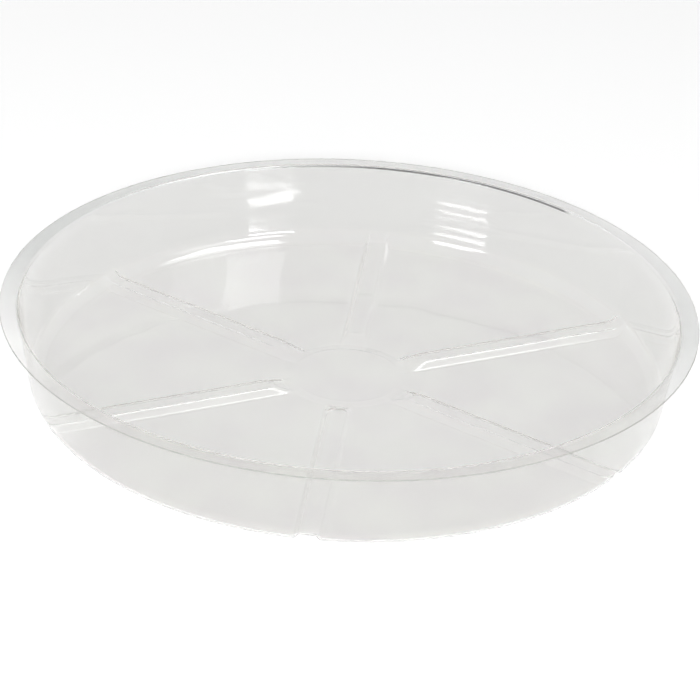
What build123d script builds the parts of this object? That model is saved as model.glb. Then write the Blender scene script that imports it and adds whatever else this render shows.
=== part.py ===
from build123d import *
import os
from math import atan2, cos, degrees, radians, tan

# A clear saucer formed from one thin plastic sheet: flat rim flange, drafted wall, rounded
# corner, flat floor, six raised hollow ribs and a shallow raised disc at the centre.
# Millimetres and degrees. The origin is the centre of the underside, which it rests on.

# Sheet
sheet_thickness = 0.6

# Rim and wall
rim_diameter = 304.8
rim_height = 39.0
flange_width = 7.4  # from the outside of the wall to the trimmed edge
wall_draft = 7.8  # lean of the wall from upright, so that saucers nest
bend_radius = 0.9  # under the flange, where the wall turns out
corner_radius = 7.0  # inside, where the wall meets the floor

# Centre disc
disc_diameter = 48.0
disc_height = 0.5
disc_slope = 45.0
disc_edge_radius = 0.4

# Ribs, measured on their underside
rib_count = 6
first_rib_angle = 90.0
rib_height = 2.6
rib_base_width = 12.6
rib_top_width = 7.4
rib_end_gap = 4.0  # from the disc to the foot of the rib's inner end
rib_end_slope_length = 8.0
rib_edge_radius = 1.0
rib_root_radius = 1.2
rib_crease_depth = 0.1  # the root's rounding ends this far under the floor, in a faint crease

# Room for rounding and for cuts
fillet_room_share = 0.45  # of the shorter run beside a corner
overrun = 5.0

rim_radius = rim_diameter / 2
disc_radius = disc_diameter / 2
wall_top_radius = rim_radius - flange_width
floor_radius = wall_top_radius - (rim_height - sheet_thickness) * tan(radians(wall_draft))
rib_start = disc_radius + rib_end_gap


def rounded(points, radii):
    """A line through the points, its inner corners rounded as far as their runs leave room."""
    corners = [Vector(*point) for point in points]
    allowed = []
    for before, corner, after, radius in zip(corners, corners[1:], corners[2:], radii):
        turn = radians((corner - before).get_angle(after - corner))
        room = fillet_room_share * min((corner - before).length, (after - corner).length)
        allowed.append(min(radius, room / tan(turn / 2)))
    return FilletPolyline(*corners, radius=allowed)


def sideways(depth, lean):
    """How far a face that leans from upright moves sideways when it lies this deep in the sheet."""
    return depth * (1 / cos(radians(lean)) - tan(radians(lean)))


def closed_below(line, bottom):
    """The face under a line that runs along X."""
    start, end = line @ 0, line @ 1
    below_start, below_end = Vector(start.X, bottom), Vector(end.X, bottom)
    return make_face(line + Polyline(end, below_end, below_start, start))


def bowl(depth, margin):
    """The space over the round surface that lies this deep in the sheet, out past the rim by margin."""
    floor = depth
    flange = rim_height - sheet_thickness + depth
    hollow_radius = sheet_thickness - depth
    lean = 90 - disc_slope
    disc_top = disc_radius + sideways(depth, lean)
    disc_foot = disc_top + disc_height * tan(radians(lean))
    wall_foot = floor_radius - sideways(depth, wall_draft)
    wall_top = wall_foot + (flange - floor) * tan(radians(wall_draft))
    edge = rim_radius + margin
    top = rim_height + overrun + margin
    surface = rounded(
        [
            (0, floor + disc_height),
            (disc_top, floor + disc_height),
            (disc_foot, floor),
            (wall_foot, floor),
            (wall_top, flange),
            (edge, flange),
        ],
        [
            disc_edge_radius + depth,
            disc_edge_radius + hollow_radius,
            corner_radius + hollow_radius,
            bend_radius + depth,
        ],
    )
    rest = Polyline((edge, flange), (edge, top), (0, top), (0, floor + disc_height))
    return revolve(Plane.XZ * make_face(surface + rest), Axis.Z)


def slope_points(top_end, top, bottom, rise, run):
    """The top and foot of a slope of this rise over this run, from its top down to bottom."""
    return (top_end, top), (top_end - run * (top - bottom) / rise, bottom)


def rib(depth):
    """What one rib takes from the bowl's space at this depth in the sheet, along +X."""
    edge_radius = rib_edge_radius + depth
    root_radius = rib_root_radius + sheet_thickness - depth
    top = depth + rib_height
    foot = depth - rib_crease_depth

    side_run = (rib_base_width - rib_top_width) / 2
    side_top = -rib_top_width / 2 - sideways(depth, degrees(atan2(side_run, rib_height)))
    edge, root = slope_points(side_top, top, foot, rib_height, side_run)
    left_half = [(root[0] - rib_base_width / 2, foot), root, edge]
    right_half = [(-x, z) for x, z in reversed(left_half)]
    section = rounded(left_half + right_half, [root_radius, edge_radius, edge_radius, root_radius])

    # The end's own top and foot pass the section's, so that the two shapes always cross.
    over = top + rib_crease_depth
    under = foot - rib_crease_depth
    end_shift = sideways(depth, degrees(atan2(rib_end_slope_length, rib_height)))
    end_top = rib_start + rib_end_slope_length - end_shift
    edge, root = slope_points(end_top, over, under, rib_height, rib_end_slope_length)
    run = [(root[0] - rib_base_width, under), root, edge, (rim_radius + overrun, over)]
    profile = rounded(run, [root_radius, edge_radius])

    along = extrude(Plane.YZ * closed_below(section, -overrun), rim_radius)
    across = extrude(Plane.XZ * closed_below(profile, -2 * overrun), 2 * rib_base_width, both=True)
    return along & across


def space_above(depth, margin):
    """Everything over the formed surface that lies this deep in the sheet."""
    ribs = [
        Rot(Z=first_rib_angle + number * 360 / rib_count) * rib(depth)
        for number in range(rib_count)
    ]
    return bowl(depth, margin) - ribs


saucer = space_above(0, 0) - space_above(sheet_thickness, overrun)
saucer.label = "saucer"

os.makedirs("parts", exist_ok=True)
export_step(saucer, "parts/saucer.step")
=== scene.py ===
from math import acos, atan2, cos, pi, radians, sin, tan

import bpy
import numpy as np
from mathutils import Matrix, Vector


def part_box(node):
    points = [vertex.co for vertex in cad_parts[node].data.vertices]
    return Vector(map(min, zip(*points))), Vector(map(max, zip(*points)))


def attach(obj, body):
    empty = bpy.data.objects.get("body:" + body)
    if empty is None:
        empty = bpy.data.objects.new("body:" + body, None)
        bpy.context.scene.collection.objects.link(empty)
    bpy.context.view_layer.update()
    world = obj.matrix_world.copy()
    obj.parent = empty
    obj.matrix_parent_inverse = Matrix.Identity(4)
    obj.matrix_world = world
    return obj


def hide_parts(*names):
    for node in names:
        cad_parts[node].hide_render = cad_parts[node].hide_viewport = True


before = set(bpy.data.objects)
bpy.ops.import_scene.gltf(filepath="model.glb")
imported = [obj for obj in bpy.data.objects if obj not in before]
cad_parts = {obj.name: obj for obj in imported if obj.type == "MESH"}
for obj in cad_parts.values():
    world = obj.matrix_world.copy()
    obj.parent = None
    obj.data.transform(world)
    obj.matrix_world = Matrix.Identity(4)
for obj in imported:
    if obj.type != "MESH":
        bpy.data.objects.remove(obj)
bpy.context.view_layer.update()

box_low, box_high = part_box("saucer")

MM = 0.001

# Sizes of the saucer, in metres. The rim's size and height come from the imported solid.
RIM_RADIUS = (box_high[0] - box_low[0]) / 2
RIM_HEIGHT = box_high[2]
SHEET = 0.6 * MM
FLANGE_WIDTH = 7.4 * MM
WALL_DRAFT = radians(7.8)
BEND_RADIUS = 1.0 * MM  # under the flange
CORNER_RADIUS = 7.0 * MM  # inside, where the wall meets the floor
TRIM_RADIUS = 0.15 * MM  # along the trimmed edge
DISC_RADIUS = 24.0 * MM
DISC_HEIGHT = 0.5 * MM
DISC_LEAN = radians(84)  # lean of the disc's edge from upright
DISC_EDGE_RADIUS = 3.0 * MM

WALL_TOP_RADIUS = RIM_RADIUS - FLANGE_WIDTH
FLOOR_RADIUS = WALL_TOP_RADIUS - (RIM_HEIGHT - SHEET) * tan(WALL_DRAFT)

RIB_COUNT = 6
FIRST_RIB_ANGLE = radians(90)
RIB_HEIGHT = 2.6 * MM
RIB_BASE_WIDTH = 12.6 * MM
RIB_TOP_WIDTH = 7.4 * MM
RIB_START = DISC_RADIUS + 4.0 * MM
RIB_END_SLOPE = 8.0 * MM
RIB_EDGE_RADIUS = 0.7 * MM
RIB_ROOT_RADIUS = 1.0 * MM
RIB_HIP_SHARE = 0.6  # rounding between a rib's end and its sides, as a share of its slopes
RIB_MOUTH_RISE = 2.2 * MM  # how much higher a rib is where it runs out through the corner
RIB_MOUTH_LENGTH = 6 * MM
RIB_MOUTH_REACH = 1.2  # the rise goes on for this many lengths
RIB_WALL_BLEND = 0.5 * MM  # rounding between a rib and the wall, at most
LEAST_BLEND = 0.001 * MM
LEAST_RISE = 0.0001 * MM  # a place that a rib lifts by less is left as it is

# Waves left in the sheet by forming. The ripples and the bulge are at one place each on the wall.
# A wave that runs round the wall has a count, a shift, a twist up the wall and a size.
RIPPLE_LENGTH = 3.9 * MM
RIPPLE_LEANS = ((5, 0, 0, 3), (11, 1, 0, 2))
LONG_RIPPLE_LENGTH = 6.1 * MM
LONG_RIPPLE_LEAN = 7
LONG_RIPPLE_SHARE = 0.5
RIPPLE_RISE = 0.03 * MM
RIPPLE_PLACE = radians(75)
RIPPLE_WIDTH = radians(9)
BULGE_PLACE = radians(108)
BULGE_WIDTH = radians(7)
BULGE_HEIGHT = 14.5 * MM  # of its middle
BULGE_LENGTH = 10 * MM
BULGE_RISE = 0.25 * MM
WALL_WAVES = ((3, 1, 0, 0.05 * MM), (8, 0, 3, 0.03 * MM))
WAVES_START = SHEET  # height over the floor where the wall's waves begin
WAVES_START_FADE = 2 * MM
WAVES_END = RIM_HEIGHT - 4 * MM
WAVES_END_FADE = 6 * MM

# The floor's swell: two crossed waves, each a little slanted, and a longer one across both
SWELL_LENGTH = 34 * MM
SWELL_RISE = 0.035 * MM
SWELL_SLANTS = (0.3, -0.2)
SWELL_SHIFT = 1
LONG_SWELL_LENGTH = 1.7 * SWELL_LENGTH
LONG_SWELL_SHARE = 0.6
LONG_SWELL_SHIFT = 2
SWELL_EDGE = 5 * MM  # in from the wall
SWELL_FADE = 15 * MM

# Rows and columns of the mesh
SUPPORT_GAP = 0.15 * MM  # from each end of a straight run to the row that keeps its shading even
SUPPORT_SHARE = 0.3  # of a short run, at most
DISC_ROWS = (0.1, 0.95, 5)  # the first and last places, as shares of its radius, and their count
RIB_END_ROWS = 20
RIB_END_REACH = 13 * MM  # of those rows, from the disc's edge
FLOOR_ROWS = 14
WALL_ROWS = 60
FLANGE_ROWS = 6
ARC_ROWS = [4, 4, 16, 8]  # at the disc's two edges, the corner and the bend
EDGE_BANDS = 3  # round the trimmed edge
GAP_COLUMNS = 12  # from a rib's columns half way to the next rib's
COLUMNS_STRAIGHT = 0.85 * DISC_RADIUS  # inside this radius the columns run to the centre
# Columns beside a rib's middle, in millimetres, close together where its sides turn
BESIDE_RIB = [0, 1.5, 2.6, 3.1, 3.4, 3.65, 3.9, 4.2, 4.7, 5.4, 5.85, 6.1, 6.35, 6.6, 6.9, 7.5, 8.5]

# The photograph's camera, solved from the rim's two outlines and the lower outline
PHOTO_SIZE = 700
FOCAL_PIXELS = 2345.8
SENSOR_WIDTH = 36
CAMERA_TURN = radians(5)  # the photograph is taken this far round from the front
CAMERA_PLACE = Vector((0.0010, -0.9170, 0.5056))
CAMERA_ELEVATION = radians(28.22)
CAMERA_ROLL = radians(2.88)
NEAREST_SEEN = 0.05
FARTHEST_SEEN = 60

# The clear plastic. A noise has a scale and a detail, and its levels are where its effect begins
# and where it is full.
WHITE = (1, 1, 1, 1)
PLASTIC_IOR = 1.5
ABSORB_COLOR = (0.80, 0.84, 0.80, 1)
ABSORB_DENSITY = 15
SHEET_TINT = (1.0, 1.0, 0.985, 1)
CLOUD_TINT = (0.97, 0.955, 0.96, 1)
CLOUD_NOISE = (28, 2)
CLOUD_LEVELS = (0.35, 0.65)
ROUGHNESS_RANGE = (0.03, 0.06)
ROUGHNESS_NOISE = (60, 3)
ROUGHNESS_LEVELS = (0.3, 0.7)
PEEL_NOISE = (450, 2)
PEEL_STRENGTH = 0.15
PEEL_DEPTH = 0.02 * MM

# Shade painted into the sheet's tint, by place. A pair holds where the painted shade begins and where it
# is full, and a group of four holds two places and its strength at each.
BACK_WAY = radians(85)  # the way in which places at the back and the front are measured
# Painted shade: the wall is darkened from 3 mm over the floor up
WALL_PAINTED_SHADE = (0.93, 0.93, 0.925, 1)
WALL_PAINTED_SHADE_HEIGHTS = (3 * MM, 9 * MM, 0, 0.8)
# Painted shade: the flange is darkened, most at the left, less towards the far back and least at the
# front
FLANGE_PAINTED_SHADE = (0.72, 0.73, 0.72, 1)
FLANGE_PAINTED_SHADE_RADII = (WALL_TOP_RADIUS - 0.5 * MM, WALL_TOP_RADIUS + 0.5 * MM)
FLANGE_PAINTED_SHADE_BACK = (40 * MM, 120 * MM, 1.0, 0.45)
FLANGE_PAINTED_SHADE_FRONT = (-80 * MM, 0.0, 0.05, 1.0)
FLANGE_PAINTED_SHADE_LEFT = (-130 * MM, -50 * MM, 1.0, 0.8)
# Painted shade: a dark line along the tightest part of the bend, at the back only
BEND_PAINTED_SHADE = (0.08, 0.08, 0.08, 1)
BEND_PAINTED_SHADE_HEIGHTS = (RIM_HEIGHT - 1.25 * MM, RIM_HEIGHT - 0.95 * MM)
BEND_PAINTED_SHADE_RADII = (WALL_TOP_RADIUS + 0.2 * MM, WALL_TOP_RADIUS - 0.2 * MM)
BEND_PAINTED_SHADE_BACK = (80 * MM, 100 * MM)
BEND_PAINTED_SHADE_LEFT = (-90 * MM, 0.0)
BEND_PAINTED_SHADE_RIGHT = (94 * MM, 90 * MM)

# Rays that pass straight through are tinted where they cross their first two surfaces. Rays that
# have mirrored more often than the limit meet a plain colour in place of the plastic.
SHADOW_TINT = (0.825, 0.825, 0.815, 1)
TINTED_CROSSINGS = 2
MOST_MIRRORINGS = 2
TRAPPED_COLOR = (0.75, 0.73, 0.70, 1)

EDGE_COLOR = (0.50, 0.50, 0.48, 1)
EDGE_ROUGHNESS = 0.5
EDGE_THROUGH_SHARE = 0.6

# The studio
FLOOR_SIZE = 30
FLOOR_DROP = 0.2 * MM  # under the saucer
FLOOR_COLOR = (0.90, 0.90, 0.90, 1)
FLOOR_ROUGHNESS = 0.9
FLOOR_GLOW = 0.18
WORLD_LEVEL = 0.25  # on dull surfaces
WORLD_SHOWN = 0.8  # to the camera
WORLD_MIRRORED = 0.54  # where the plastic mirrors it
WORLD_THROUGH = 0.80  # where it shows through the plastic
LAMP_DISTANCE = 6
# Each lamp: azimuth, elevation, width and height in degrees, its radiance, and whether it shows in
# the plastic. One that does lights no dull surface.
LAMPS = {
    "main_lamp": (180, 26, 8, 8, 275, False),
    "key_lamp": (-140, 30, 13, 9, 9, True),
    "fill_lamp": (138, 40, 18, 15, 5, True),
    "soft_lamp": (117, 40, 24, 15, 1.5, True),
    "high_lamp": (116, 52, 30, 10, 0.5, True),
    "side_lamp": (72, 69, 30, 18, 5, True),
    "low_left_lamp": (-140, 14.5, 19, 6, 24, True),
    "low_right_lamp": (149, 15, 17, 10, 11, True),
}


def sideways(depth, lean):
    """How far a face that leans from upright moves sideways when it lies this deep in the sheet."""
    return depth * (1 / cos(lean) - tan(lean))


def smooth_least(a, b, width):
    """The lesser of two arrays, with the crossing rounded over this width."""
    near = np.maximum(width - np.abs(a - b), 0) / width
    return np.minimum(a, b) - near * near * width / 4


def smooth_most(a, b, width):
    """The greater of two arrays, with the crossing rounded over this width."""
    return -smooth_least(-a, -b, width)


def ramp(values, start, end):
    """0 up to the start and 1 from the end on, with an even slope between them."""
    return np.clip((values - start) / (end - start), 0, 1)


def bell(distance, width):
    """A soft bell, 1 where the distance is 0."""
    return np.exp(-((distance / width) ** 2))


def wave(distance, length, shift=0):
    """A wave of this length, between -1 and 1."""
    return np.sin(2 * pi * distance / length + shift)


def waves_round(waves, turn, height):
    """The sum of waves that run round the wall, at places given as an angle and a height."""
    up = height / RIM_HEIGHT
    return sum(size * np.sin(count * turn + shift + twist * up) for count, shift, twist, size in waves)


def arc_points(corner, start, end, count):
    """Points along the arc that touches both runs of a corner at start and end, without its end."""
    middle = (start + end) / 2
    half_chord = np.linalg.norm(end - start) / 2
    depth = np.linalg.norm(corner - middle)
    half_turn = atan2(depth, half_chord)
    centre = middle + (middle - corner) * (half_chord / depth) ** 2
    radius = np.linalg.norm(start - centre)
    spoke = (start - centre) / radius
    tangent = (corner - start) / np.linalg.norm(corner - start)
    angles = 2 * half_turn * np.arange(count) / count
    return [centre + radius * (spoke * cos(angle) + tangent * sin(angle)) for angle in angles]


def rounded_rows(corners, radii, straight_rows, arc_rows):
    """Points along straight runs with rounded corners, after the first one, as radius and height.

    For each run, straight_rows holds the places of its rows as shares of its length. For each
    corner, arc_rows holds a count.
    """
    points = [np.array(corner, float) for corner in corners]
    starts, ends, rows = [], [], []
    for before, corner, after, radius in zip(points, points[1:], points[2:], radii):
        way_in = (corner - before) / np.linalg.norm(corner - before)
        way_out = (after - corner) / np.linalg.norm(after - corner)
        turn = acos(np.clip(way_in @ way_out, -1, 1))
        back = radius * tan(turn / 2)
        starts.append(corner - way_in * back)
        ends.append(corner + way_out * back)
    run_starts = [points[0], *ends]
    run_ends = [*starts, points[-1]]
    for number, (start, end) in enumerate(zip(run_starts, run_ends)):
        near = min(SUPPORT_GAP / np.linalg.norm(end - start), SUPPORT_SHARE)
        inner = [share for share in straight_rows[number] if near < share < 1 - near]
        first = [0.0, near] if number > 0 else [near]
        last = [1 - near] if number < len(radii) else [1 - near, 1.0]
        rows += [start + (end - start) * share for share in [*first, *inner, *last]]
        if number < len(radii):
            rows += arc_points(points[number + 1], starts[number], ends[number], arc_rows[number])
    return np.array(rows)


def bowl_rows(depth):
    """The round surface that lies this deep in the sheet, from the centre to the trimmed edge."""
    floor = depth
    flange = RIM_HEIGHT - SHEET + depth
    inner = SHEET - depth
    disc_top = DISC_RADIUS + sideways(depth, DISC_LEAN)
    disc_foot = disc_top + DISC_HEIGHT * tan(DISC_LEAN)
    wall_foot = FLOOR_RADIUS - sideways(depth, WALL_DRAFT)
    wall_top = wall_foot + (flange - floor) * tan(WALL_DRAFT)
    corners = [
        (0, floor + DISC_HEIGHT),
        (disc_top, floor + DISC_HEIGHT),
        (disc_foot, floor),
        (wall_foot, floor),
        (wall_top, flange),
        (RIM_RADIUS - TRIM_RADIUS, flange),
    ]
    radii = [
        DISC_EDGE_RADIUS + depth,
        DISC_EDGE_RADIUS + inner,
        CORNER_RADIUS + inner,
        BEND_RADIUS + depth,
    ]
    reach = RIB_END_REACH / (FLOOR_RADIUS - DISC_RADIUS)
    straight_rows = [
        np.linspace(*DISC_ROWS),
        [],
        [*np.linspace(0, reach, RIB_END_ROWS), *np.linspace(reach, 1, FLOOR_ROWS)[1:]],
        np.linspace(0, 1, WALL_ROWS),
        np.linspace(0, 1, FLANGE_ROWS),
    ]
    return rounded_rows(corners, radii, straight_rows, ARC_ROWS)


def rib_rise(along, across, depth):
    """How far the ribs lift the floor at places given in a rib's own directions."""
    side_run = (RIB_BASE_WIDTH - RIB_TOP_WIDTH) / 2
    half_foot = RIB_BASE_WIDTH / 2 + sideways(depth, atan2(side_run, RIB_HEIGHT))
    start = RIB_START - sideways(depth, atan2(RIB_END_SLOPE, RIB_HEIGHT))
    side_share = (half_foot - np.abs(across)) / side_run
    end_share = (along - start) / RIB_END_SLOPE
    share = smooth_least(side_share, end_share, RIB_HIP_SHARE)
    half_turn = atan2(RIB_HEIGHT, side_run) / 2
    root = (RIB_ROOT_RADIUS + SHEET - depth) * tan(half_turn) / side_run
    edge = (RIB_EDGE_RADIUS + depth) * tan(half_turn) / side_run
    share = smooth_most(share, np.zeros_like(share), root)
    share = smooth_least(share, np.ones_like(share), edge)
    mouth = np.clip((along - FLOOR_RADIUS) / RIB_MOUTH_LENGTH + 1, 0, RIB_MOUTH_REACH)
    return share * (RIB_HEIGHT + RIB_MOUTH_RISE * mouth * mouth)


def column_angles(radii):
    """Angles round the saucer for each row's radius. Columns beside a rib run along it."""
    beside = np.array(BESIDE_RIB) * MM
    half_sector = pi / RIB_COUNT
    angles = []
    for radius in radii:
        near = np.arcsin(beside / max(radius, COLUMNS_STRAIGHT))
        far = near[-1] + (half_sector - near[-1]) * np.arange(1, GAP_COLUMNS + 1) / GAP_COLUMNS
        right = np.concatenate([near, far])
        one = np.concatenate([-right[:0:-1], right[:-1]])
        angles.append(np.concatenate([one + 2 * half_sector * i for i in range(RIB_COUNT)]))
    return np.array(angles)


def wall_waves(turn, height):
    """How far the wall stands out from a true cone, at places given as an angle and a height."""
    ripples = wave(height, RIPPLE_LENGTH, waves_round(RIPPLE_LEANS, turn, height))
    ripples += LONG_RIPPLE_SHARE * wave(height, LONG_RIPPLE_LENGTH, LONG_RIPPLE_LEAN * turn)
    ripples *= bell(turn - RIPPLE_PLACE, RIPPLE_WIDTH)
    bulge = bell(height - BULGE_HEIGHT, BULGE_LENGTH) * bell(turn - BULGE_PLACE, BULGE_WIDTH)
    out = RIPPLE_RISE * ripples + BULGE_RISE * bulge + waves_round(WALL_WAVES, turn, height)
    out *= ramp(height, WAVES_START, WAVES_START + WAVES_START_FADE)
    return out * ramp(height, WAVES_END, WAVES_END - WAVES_END_FADE)


def floor_swell(x, y):
    """How far the floor lies over a flat one. It is never under it."""
    x_slant, y_slant = SWELL_SLANTS
    waves = wave(x + x_slant * y, SWELL_LENGTH) * wave(y + y_slant * x, SWELL_LENGTH, SWELL_SHIFT)
    waves += LONG_SWELL_SHARE * wave(x - y, LONG_SWELL_LENGTH, LONG_SWELL_SHIFT)
    edge = FLOOR_RADIUS - SWELL_EDGE
    lowest = -1 - LONG_SWELL_SHARE
    return SWELL_RISE * (waves - lowest) * ramp(np.hypot(x, y), edge, edge - SWELL_FADE)


def surface(depth):
    """The formed surface that lies this deep in the sheet, as grids of radius, angle and height."""
    rows = bowl_rows(depth)
    turn = column_angles(rows[:, 0])
    radius = np.repeat(rows[:, :1], turn.shape[1], axis=1)
    height = np.repeat(rows[:, 1:], turn.shape[1], axis=1)
    sector = 2 * pi / RIB_COUNT
    from_rib = (turn + sector / 2) % sector - sector / 2
    rise = rib_rise(radius * np.cos(from_rib), radius * np.sin(from_rib), depth)
    blend = np.clip(height - depth, LEAST_BLEND, RIB_WALL_BLEND)
    ribbed = smooth_most(height, depth + rise, blend)
    height = np.where(rise < LEAST_RISE, height, ribbed)
    turn = turn + FIRST_RIB_ANGLE
    on_wall = radius > FLOOR_RADIUS - CORNER_RADIUS
    radius = radius + wall_waves(turn, height - depth) * on_wall
    height = height + floor_swell(radius * np.cos(turn), radius * np.sin(turn))
    return radius, turn, height


def sheet_rings():
    """Rings of points, out over the top surface, down the trimmed edge and in along the underside."""
    top_radius, top_turn, top_height = surface(SHEET)
    low_radius, low_turn, low_height = surface(0.0)
    edge_radius = np.full((1, top_radius.shape[1]), RIM_RADIUS)
    edge_turn = top_turn[-1:]
    upper_edge = np.full_like(edge_radius, RIM_HEIGHT - TRIM_RADIUS)
    lower_edge = np.full_like(edge_radius, RIM_HEIGHT - SHEET + TRIM_RADIUS)
    radius = np.concatenate([top_radius, edge_radius, edge_radius, low_radius[::-1]])
    turn = np.concatenate([top_turn, edge_turn, edge_turn, low_turn[::-1]])
    height = np.concatenate([top_height, upper_edge, lower_edge, low_height[::-1]])
    return np.stack([radius * np.cos(turn), radius * np.sin(turn), height], axis=-1)


def sheet_mesh(name):
    """The closed sheet: its rings joined by bands of quads, and a fan of triangles at each centre."""
    rings = sheet_rings()
    count, columns = rings.shape[:2]
    index = np.arange(count * columns).reshape(count, columns)
    after = np.roll(index, -1, axis=1)
    quads = np.stack([index[:-1], index[1:], after[1:], after[:-1]], axis=-1).reshape(-1, 4)

    swell = floor_swell(np.zeros(1), np.zeros(1))[0]
    centres = [[0, 0, SHEET + DISC_HEIGHT + swell], [0, 0, DISC_HEIGHT + swell]]
    top_centre, low_centre = index.size, index.size + 1
    top_fan = [(top_centre, *pair) for pair in zip(index[0].tolist(), after[0].tolist())]
    low_fan = [(low_centre, *pair) for pair in zip(after[-1].tolist(), index[-1].tolist())]

    mesh = bpy.data.meshes.new(name)
    vertices = rings.reshape(-1, 3).tolist() + centres
    mesh.from_pydata(vertices, [], quads.tolist() + top_fan + low_fan)
    edge_start = (count - 1 - EDGE_BANDS) // 2 * columns
    slots = np.zeros(len(mesh.polygons), int)
    slots[edge_start : edge_start + EDGE_BANDS * columns] = 1
    mesh.polygons.foreach_set("material_index", slots)
    mesh.polygons.foreach_set("use_smooth", slots == 0)
    mesh.validate()
    return mesh


def new_material(name):
    """A material with nodes, with its tree and its shader."""
    material = bpy.data.materials.new(name)
    material.use_nodes = True
    return material, material.node_tree, material.node_tree.nodes["Principled BSDF"]


def feed(tree, socket, value):
    """Give a socket its value, by a link where the value is a socket too."""
    if isinstance(value, bpy.types.NodeSocket):
        tree.links.new(value, socket)
    else:
        socket.default_value = value


def combined(tree, operation, *values):
    """A socket with the result of an operation on two values, and then on that and each further one."""
    result = values[0]
    for value in values[1:]:
        node = tree.nodes.new("ShaderNodeMath")
        node.operation = operation
        feed(tree, node.inputs[0], result)
        feed(tree, node.inputs[1], value)
        result = node.outputs[0]
    return result


def map_range(tree, value, low, high, to_low=0.0, to_high=1.0):
    """A socket that runs from one value to another while its input runs from low to high."""
    node = tree.nodes.new("ShaderNodeMapRange")
    node.inputs["From Min"].default_value = low
    node.inputs["From Max"].default_value = high
    node.inputs["To Min"].default_value = to_low
    node.inputs["To Max"].default_value = to_high
    tree.links.new(value, node.inputs["Value"])
    return node.outputs[0]


def mix_colors(tree, factor, a, b):
    """A socket with a colour between two others."""
    node = tree.nodes.new("ShaderNodeMix")
    node.data_type = "RGBA"
    feed(tree, node.inputs["Factor"], factor)
    feed(tree, node.inputs["A"], a)
    feed(tree, node.inputs["B"], b)
    return node.outputs["Result"]


def mix_shaders(tree, factor, a, b):
    """A socket with a shader between two others."""
    node = tree.nodes.new("ShaderNodeMixShader")
    feed(tree, node.inputs[0], factor)
    tree.links.new(a, node.inputs[1])
    tree.links.new(b, node.inputs[2])
    return node.outputs[0]


def plain_shader(tree, kind, color):
    """A socket with a shader that has only a colour."""
    node = tree.nodes.new(kind)
    feed(tree, node.inputs["Color"], color)
    return node.outputs[0]


def noise(tree, place, scale, detail):
    """A socket with soft noise, about 0.5 on average."""
    node = tree.nodes.new("ShaderNodeTexNoise")
    node.inputs["Scale"].default_value = scale
    node.inputs["Detail"].default_value = detail
    tree.links.new(place, node.inputs["Vector"])
    return node.outputs["Fac"]


def edge_material():
    """The trimmed edge: the same plastic, slightly rough from the cut, which scatters light both ways."""
    material, tree, shader = new_material("cut_edge")
    shader.inputs["Base Color"].default_value = EDGE_COLOR
    shader.inputs["Roughness"].default_value = EDGE_ROUGHNESS
    through = plain_shader(tree, "ShaderNodeBsdfTranslucent", EDGE_COLOR)
    shown = mix_shaders(tree, EDGE_THROUGH_SHARE, shader.outputs[0], through)
    tree.links.new(shown, tree.nodes["Material Output"].inputs["Surface"])
    return material


def sheet_tint_and_painted_shade(tree, place):
    """The sheet's tint, faintly clouded, with painted shade: the wall darkened, the flange darker, and a
    painted dark line where the bend is tightest at the back.
    """
    parts = tree.nodes.new("ShaderNodeSeparateXYZ")
    tree.links.new(place, parts.inputs[0])
    x, y, height = parts.outputs
    squares = [combined(tree, "MULTIPLY", part, part) for part in (x, y)]
    radius = combined(tree, "POWER", combined(tree, "ADD", *squares), 0.5)
    back_by_x = combined(tree, "MULTIPLY", x, cos(BACK_WAY))
    back_by_y = combined(tree, "MULTIPLY", y, sin(BACK_WAY))
    back = combined(tree, "ADD", back_by_x, back_by_y)

    cloud = map_range(tree, noise(tree, place, *CLOUD_NOISE), *CLOUD_LEVELS)
    tint = mix_colors(tree, cloud, SHEET_TINT, CLOUD_TINT)
    # the flange, where shade is painted; the wall's painted shade stays off it
    painted_flange_shade = map_range(tree, radius, *FLANGE_PAINTED_SHADE_RADII)
    # painted shade on the wall, from 3 mm up
    on_wall = combined(
        tree,
        "MULTIPLY",
        combined(tree, "SUBTRACT", 1, painted_flange_shade),
        map_range(tree, height, *WALL_PAINTED_SHADE_HEIGHTS),
    )
    tint = mix_colors(tree, on_wall, tint, WALL_PAINTED_SHADE)
    # painted shade on the flange, by place round the saucer
    painted_flange_shade = combined(
        tree,
        "MULTIPLY",
        painted_flange_shade,
        map_range(tree, back, *FLANGE_PAINTED_SHADE_BACK),
        map_range(tree, back, *FLANGE_PAINTED_SHADE_FRONT),
        map_range(tree, x, *FLANGE_PAINTED_SHADE_LEFT),
    )
    tint = mix_colors(tree, painted_flange_shade, tint, FLANGE_PAINTED_SHADE)
    # a painted dark line in the bend, at the back
    painted_bend_line = combined(
        tree,
        "MULTIPLY",
        map_range(tree, height, *BEND_PAINTED_SHADE_HEIGHTS),
        map_range(tree, radius, *BEND_PAINTED_SHADE_RADII),
        map_range(tree, back, *BEND_PAINTED_SHADE_BACK),
        map_range(tree, x, *BEND_PAINTED_SHADE_LEFT),
        map_range(tree, x, *BEND_PAINTED_SHADE_RIGHT),
    )
    return mix_colors(tree, painted_bend_line, tint, BEND_PAINTED_SHADE)


def fine_bumps(tree, place):
    """A normal with the very faint orange peel of formed sheet."""
    node = tree.nodes.new("ShaderNodeBump")
    node.inputs["Strength"].default_value = PEEL_STRENGTH
    node.inputs["Distance"].default_value = PEEL_DEPTH
    tree.links.new(noise(tree, place, *PEEL_NOISE), node.inputs["Height"])
    return node.outputs[0]


def plastic_shader(tree, shader):
    """Dress the clear plastic's own shader."""
    place = tree.nodes.new("ShaderNodeTexCoord").outputs["Object"]
    grain = noise(tree, place, *ROUGHNESS_NOISE)
    roughness = map_range(tree, grain, *ROUGHNESS_LEVELS, *ROUGHNESS_RANGE)
    tree.links.new(sheet_tint_and_painted_shade(tree, place), shader.inputs["Base Color"])
    tree.links.new(roughness, shader.inputs["Roughness"])
    tree.links.new(fine_bumps(tree, place), shader.inputs["Normal"])
    shader.inputs["IOR"].default_value = PLASTIC_IOR
    shader.inputs["Transmission Weight"].default_value = 1.0
    return shader.outputs[0]


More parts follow.
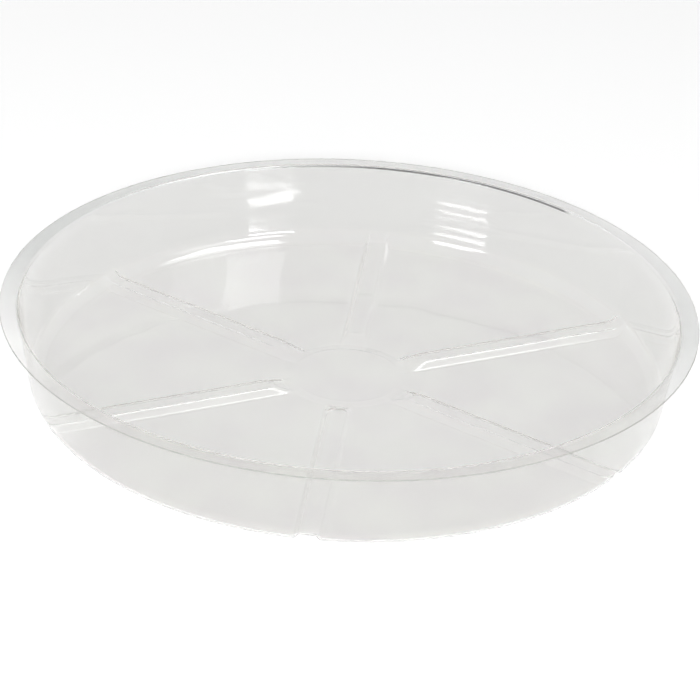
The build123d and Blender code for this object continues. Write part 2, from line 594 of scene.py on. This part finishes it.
def sheet_material():
    """Clear plastic. Lamps' rays and rays from dull surfaces pass straight through it."""
    material, tree, shader = new_material("clear_sheet")
    output = tree.nodes["Material Output"]
    absorb = tree.nodes.new("ShaderNodeVolumeAbsorption")
    absorb.inputs["Color"].default_value = ABSORB_COLOR
    absorb.inputs["Density"].default_value = ABSORB_DENSITY
    tree.links.new(absorb.outputs[0], output.inputs["Volume"])

    path = tree.nodes.new("ShaderNodeLightPath").outputs
    trapped = combined(tree, "GREATER_THAN", path["Glossy Depth"], MOST_MIRRORINGS + 0.5)
    front_scatter = plain_shader(tree, "ShaderNodeBsdfDiffuse", TRAPPED_COLOR)
    back_scatter = plain_shader(tree, "ShaderNodeBsdfTranslucent", TRAPPED_COLOR)
    scatter = mix_shaders(tree, 0.5, front_scatter, back_scatter)
    further = combined(tree, "GREATER_THAN", path["Transparent Depth"], TINTED_CROSSINGS - 0.5)
    passing_tint = mix_colors(tree, further, SHADOW_TINT, WHITE)
    clear = plain_shader(tree, "ShaderNodeBsdfTransparent", passing_tint)

    shown = mix_shaders(tree, trapped, plastic_shader(tree, shader), scatter)
    shown = mix_shaders(tree, path["Is Diffuse Ray"], shown, clear)
    shown = mix_shaders(tree, path["Is Shadow Ray"], shown, clear)
    tree.links.new(shown, output.inputs["Surface"])
    return material


def floor_material():
    """A pale dull floor that looks white to the camera and in the plastic. Shadows stay on it."""
    material, tree, shader = new_material("pale_floor")
    shader.inputs["Base Color"].default_value = FLOOR_COLOR
    shader.inputs["Roughness"].default_value = FLOOR_ROUGHNESS
    shader.inputs["Specular IOR Level"].default_value = 0.0
    path = tree.nodes.new("ShaderNodeLightPath").outputs
    rays = ["Is Camera Ray", "Is Glossy Ray", "Is Transmission Ray"]
    seen = combined(tree, "MAXIMUM", *[path[ray] for ray in rays])
    glow = tree.nodes.new("ShaderNodeEmission")
    tree.links.new(combined(tree, "MULTIPLY", seen, FLOOR_GLOW), glow.inputs["Strength"])
    lit = tree.nodes.new("ShaderNodeAddShader")
    tree.links.new(shader.outputs[0], lit.inputs[0])
    tree.links.new(glow.outputs[0], lit.inputs[1])
    tree.links.new(lit.outputs[0], tree.nodes["Material Output"].inputs["Surface"])
    return material


def add_floor():
    """The studio's floor."""
    bpy.ops.mesh.primitive_plane_add(size=FLOOR_SIZE, location=(0, 0, -FLOOR_DROP))
    floor = bpy.context.object
    floor.name = "floor"
    floor.data.materials.append(floor_material())


def add_camera():
    """The photograph's camera."""
    data = bpy.data.cameras.new("photo_camera")
    data.sensor_width = SENSOR_WIDTH
    data.lens = FOCAL_PIXELS / PHOTO_SIZE * SENSOR_WIDTH
    data.clip_start = NEAREST_SEEN
    data.clip_end = FARTHEST_SEEN
    camera = bpy.data.objects.new("photo_camera", data)
    bpy.context.scene.collection.objects.link(camera)
    turn = Matrix.Rotation(CAMERA_TURN, 4, "Z")
    look = Matrix.Rotation(pi / 2 - CAMERA_ELEVATION, 4, "X") @ Matrix.Rotation(CAMERA_ROLL, 4, "Z")
    camera.matrix_world = turn @ Matrix.Translation(CAMERA_PLACE) @ look
    bpy.context.scene.camera = camera


def add_lamp(name, azimuth, elevation, wide, high, radiance, shows):
    """A soft lamp. Azimuth 0 is away from the camera and 90 is to its right."""
    data = bpy.data.lights.new(name, "AREA")
    data.shape = "RECTANGLE"
    data.size = 2 * LAMP_DISTANCE * tan(radians(wide) / 2)
    data.size_y = 2 * LAMP_DISTANCE * tan(radians(high) / 2)
    data.energy = radiance * pi * data.size * data.size_y
    lamp = bpy.data.objects.new(name, data)
    lamp.visible_glossy = lamp.visible_transmission = shows
    lamp.visible_diffuse = not shows
    bpy.context.scene.collection.objects.link(lamp)
    turn, lift = radians(azimuth) - CAMERA_TURN, radians(elevation)
    way = Vector((sin(turn) * cos(lift), cos(turn) * cos(lift), sin(lift)))
    lamp.location = way * LAMP_DISTANCE
    lamp.rotation_mode = "QUATERNION"
    lamp.rotation_quaternion = way.to_track_quat("Z", "Y")


def add_world():
    """The pale surroundings, with a level of their own for each kind of ray that meets them."""
    world = bpy.data.worlds.new("pale_world")
    world.use_nodes = True
    tree = world.node_tree
    background = tree.nodes["Background"]
    background.inputs["Color"].default_value = WHITE
    path = tree.nodes.new("ShaderNodeLightPath").outputs
    mirrored = combined(tree, "MULTIPLY", path["Is Glossy Ray"], WORLD_MIRRORED - WORLD_LEVEL)
    through = combined(tree, "MULTIPLY", path["Is Transmission Ray"], WORLD_THROUGH - WORLD_LEVEL)
    extra = combined(tree, "MAXIMUM", mirrored, through)
    level = map_range(tree, path["Is Camera Ray"], 0, 1, WORLD_LEVEL, WORLD_SHOWN)
    tree.links.new(combined(tree, "ADD", level, extra), background.inputs["Strength"])
    bpy.context.scene.world = world


bpy.context.scene.view_settings.view_transform = "Standard"

sheet = bpy.data.objects.new("saucer_sheet", sheet_mesh("saucer_sheet"))
bpy.context.scene.collection.objects.link(sheet)
sheet.data.materials.append(sheet_material())
sheet.data.materials.append(edge_material())
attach(sheet, "root")
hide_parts("saucer")

add_floor()
add_camera()
for name, settings in LAMPS.items():
    add_lamp(name, *settings)
add_world()
